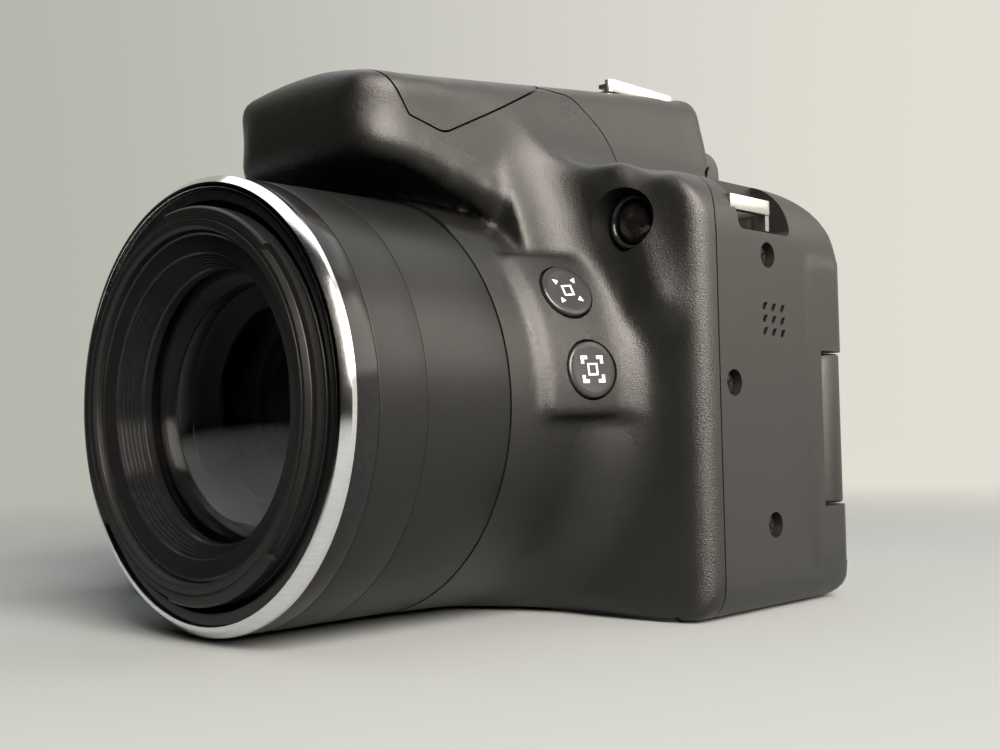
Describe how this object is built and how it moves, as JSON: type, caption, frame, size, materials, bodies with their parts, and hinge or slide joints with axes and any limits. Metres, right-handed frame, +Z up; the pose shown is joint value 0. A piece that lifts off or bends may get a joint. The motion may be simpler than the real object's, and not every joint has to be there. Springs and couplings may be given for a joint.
{
  "type": "bridge camera",
  "caption": "Bridge camera with a telescoping zoom lens, swing-out screen, pop-up flash, electronic viewfinder, hot shoe and a deep side grip.",
  "frame": {"origin": "middle of the box around the camera, on the surface it stands on", "axes": "+X towards the screen-hinge side (right as seen from the front), +Y to the back, +Z up; the lens looks along -Y"},
  "size_m": [0.1226, 0.1054, 0.0873],
  "materials": {
    "grained_plastic": "fine grain, matte",
    "matte_plastic": "smooth matte",
    "base_plastic": "matte",
    "black_plastic": "satin",
    "rubber": "fine texture",
    "eyecup_rubber": "soft matte",
    "lamp_red": "gloss, translucent",
    "bright_metal": "bright plated",
    "dark_metal": "dark oxide",
    "steel": "turned",
    "cast_metal": "as cast",
    "satin_black": "satin",
    "gloss_black": "gloss",
    "chrome": "polished",
    "sensor": "gloss cover",
    "board": "solder mask",
    "battery_case": "matte",
    "card_blue": "matte",
    "clear_glass": "polished",
    "front_glass": "coated",
    "screen_glass": "gloss",
    "gear_white": "satin",
    "lens_cell": "lens in a black cell",
    "button_metal": "satin plated",
    "button_black": "satin",
    "movie_red": "satin"
  },
  "bodies": {
    "body": {"front_cover": "grained_plastic", "rear_cover": "matte_plastic", "top_cover": "matte_plastic", "base_plate": "base_plastic", "grip_rubber": "rubber", "thumb_rest": "rubber", "lamp_lens": "lamp_red", "hot_shoe_rails": "bright_metal", "hot_shoe_base": "black_plastic", "strap_lugs": "bright_metal", "case_screws": "dark_metal", "speaker": "dark_metal", "tripod_socket": "steel", "chassis": "cast_metal", "guide_rods": "steel", "outer_barrel": "satin_black", "hood_ring": "gloss_black", "trim_ring": "chrome", "image_sensor": "sensor", "main_board": "board", "zoom_motor": "steel", "battery": "battery_case", "memory_card": "card_blue", "flash_capacitor": "gloss_black", "eyepiece_frame": "black_plastic", "eyecup": "eyecup_rubber", "eyepiece_lens": "clear_glass", "evf_display": "gloss_black"},
    "cam": {"cam_ring": "black_plastic"},
    "gear": {"drive_gear": "gear_white"},
    "middle": {"middle_tube": "satin_black"},
    "front": {"front_tube": "satin_black", "name_ring": "satin_black", "front_lens": "front_glass"},
    "zoom_group": {"zoom_lens_group": "lens_cell"},
    "stabiliser": {"stabiliser_lens": "lens_cell"},
    "focus": {"focus_lens": "lens_cell"},
    "flash": {"flash_head": "grained_plastic", "flash_window": "clear_glass"},
    "diopter": {"diopter_dial": "black_plastic"},
    "screen": {"lcd_arm": "matte_plastic", "lcd_shell": "matte_plastic", "lcd_glass": "screen_glass"},
    "shutter": {"shutter_button": "button_metal"},
    "lever": {"zoom_lever": "black_plastic"},
    "dial": {"mode_dial": "black_plastic"},
    "power": {"power_button": "button_metal"},
    "seek": {"seek_button": "button_black"},
    "lock": {"lock_button": "button_black"},
    "movie": {"movie_button": "movie_red"},
    "playback": {"playback_button": "button_black"},
    "menu": {"menu_button": "button_black"},
    "display": {"display_button": "button_black"},
    "frame": {"frame_button": "button_black"},
    "wheel": {"control_wheel": "black_plastic"},
    "set": {"set_button": "button_black"},
    "cell_door": {"battery_door": "base_plastic"},
    "terminal_door": {"port_door": "rubber"}
  },
  "joints": [
    {"name": "front_extend", "type": "slide", "parent": "body", "child": "front", "axis": [0, -1, 0], "range_m": [0, 0.064]},
    {"name": "cam_turn", "type": "hinge", "parent": "body", "child": "cam", "pos_m": [0.0158, 0, 0.0314], "axis": [0, -1, 0], "range_deg": [-1, 151]},
    {"name": "gear_turn", "type": "hinge", "parent": "body", "child": "gear", "pos_m": [-0.01219, 0, 0.04756], "axis": [0, -1, 0], "range_deg": [-1010, 10]},
    {"name": "zoom_extend", "type": "slide", "parent": "body", "child": "middle", "axis": [0, -1, 0], "range_m": [0, 0.0325]},
    {"name": "zoom_group_travel", "type": "slide", "parent": "body", "child": "zoom_group", "axis": [0, 1, 0], "range_m": [0, 0.0095]},
    {"name": "stabiliser_travel", "type": "slide", "parent": "body", "child": "stabiliser", "axis": [0, -1, 0], "range_m": [0, 0.0085]},
    {"name": "focus_travel", "type": "slide", "parent": "body", "child": "focus", "axis": [0, -1, 0], "range_m": [-0.0015, 0.0015]},
    {"name": "flash_lift", "type": "hinge", "parent": "body", "child": "flash", "pos_m": [0.0158, -0.0012, 0.08128], "axis": [-1, 0, 0], "range_deg": [0, 40]},
    {"name": "diopter_turn", "type": "hinge", "parent": "body", "child": "diopter", "pos_m": [0.0323, 0.041, 0.068], "axis": [1, 0, 0], "range_deg": [-90, 90]},
    {"name": "screen_swing", "type": "hinge", "parent": "body", "child": "screen", "pos_m": [0.0574, 0.0368, 0.0266], "axis": [0, 0, -1], "range_deg": [0, 175]},
    {"name": "shutter_press", "type": "slide", "parent": "body", "child": "shutter", "axis": [0, 0, -1], "range_m": [0, 0.0012], "stiffness_N_per_m": 300},
    {"name": "lever_turn", "type": "hinge", "parent": "body", "child": "lever", "pos_m": [-0.042, -0.007, 0.067], "axis": [0, 0, 1], "range_deg": [-20, 20], "stiffness_Nm_per_rad": 0.01},
    {"name": "dial_turn", "type": "hinge", "parent": "body", "child": "dial", "pos_m": [-0.026, 0.022, 0.068], "axis": [0, 0, 1], "continuous": true},
    {"name": "power_press", "type": "slide", "parent": "body", "child": "power", "axis": [0, 0, -1], "range_m": [0, 0.0008], "stiffness_N_per_m": 300},
    {"name": "seek_press", "type": "slide", "parent": "body", "child": "seek", "axis": [-0.891, 0, -0.454], "range_m": [0, 0.0007], "stiffness_N_per_m": 300},
    {"name": "lock_press", "type": "slide", "parent": "body", "child": "lock", "axis": [-0.9925, 0, -0.1219], "range_m": [0, 0.0007], "stiffness_N_per_m": 300},
    {"name": "movie_press", "type": "slide", "parent": "body", "child": "movie", "axis": [0, -1, 0], "range_m": [0, 0.0007], "stiffness_N_per_m": 300},
    {"name": "playback_press", "type": "slide", "parent": "body", "child": "playback", "axis": [0, -1, 0], "range_m": [0, 0.0007], "stiffness_N_per_m": 300},
    {"name": "menu_press", "type": "slide", "parent": "body", "child": "menu", "axis": [0, -1, 0], "range_m": [0, 0.0007], "stiffness_N_per_m": 300},
    {"name": "display_press", "type": "slide", "parent": "body", "child": "display", "axis": [0, -1, 0], "range_m": [0, 0.0007], "stiffness_N_per_m": 300},
    {"name": "frame_press", "type": "slide", "parent": "body", "child": "frame", "axis": [0, -1, 0], "range_m": [0, 0.0007], "stiffness_N_per_m": 300},
    {"name": "wheel_turn", "type": "hinge", "parent": "body", "child": "wheel", "pos_m": [-0.0365, 0.04, 0.026], "axis": [0, 1, 0], "continuous": true},
    {"name": "set_press", "type": "slide", "parent": "body", "child": "set", "axis": [0, -1, 0], "range_m": [0, 0.0006], "stiffness_N_per_m": 300},
    {"name": "battery_door_open", "type": "hinge", "parent": "body", "child": "cell_door", "pos_m": [-0.034, 0, 0.0011], "axis": [0, -1, 0], "range_deg": [0, 95]},
    {"name": "port_door_open", "type": "hinge", "parent": "body", "child": "terminal_door", "pos_m": [-0.06055, 0.0286, 0.025], "axis": [0, 0, -1], "range_deg": [0, 100]}
  ],
  "couplings": [
    {"joint": "cam_turn", "follows": "front_extend", "rad_per_m": 40.906},
    {"joint": "gear_turn", "follows": "front_extend", "rad_per_m": -272.71},
    {"joint": "zoom_extend", "follows": "front_extend", "ratio": 0.5},
    {"joint": "zoom_group_travel", "follows": "front_extend", "ratio": 0.14062},
    {"joint": "stabiliser_travel", "follows": "front_extend", "ratio": 0.125}
  ]
}
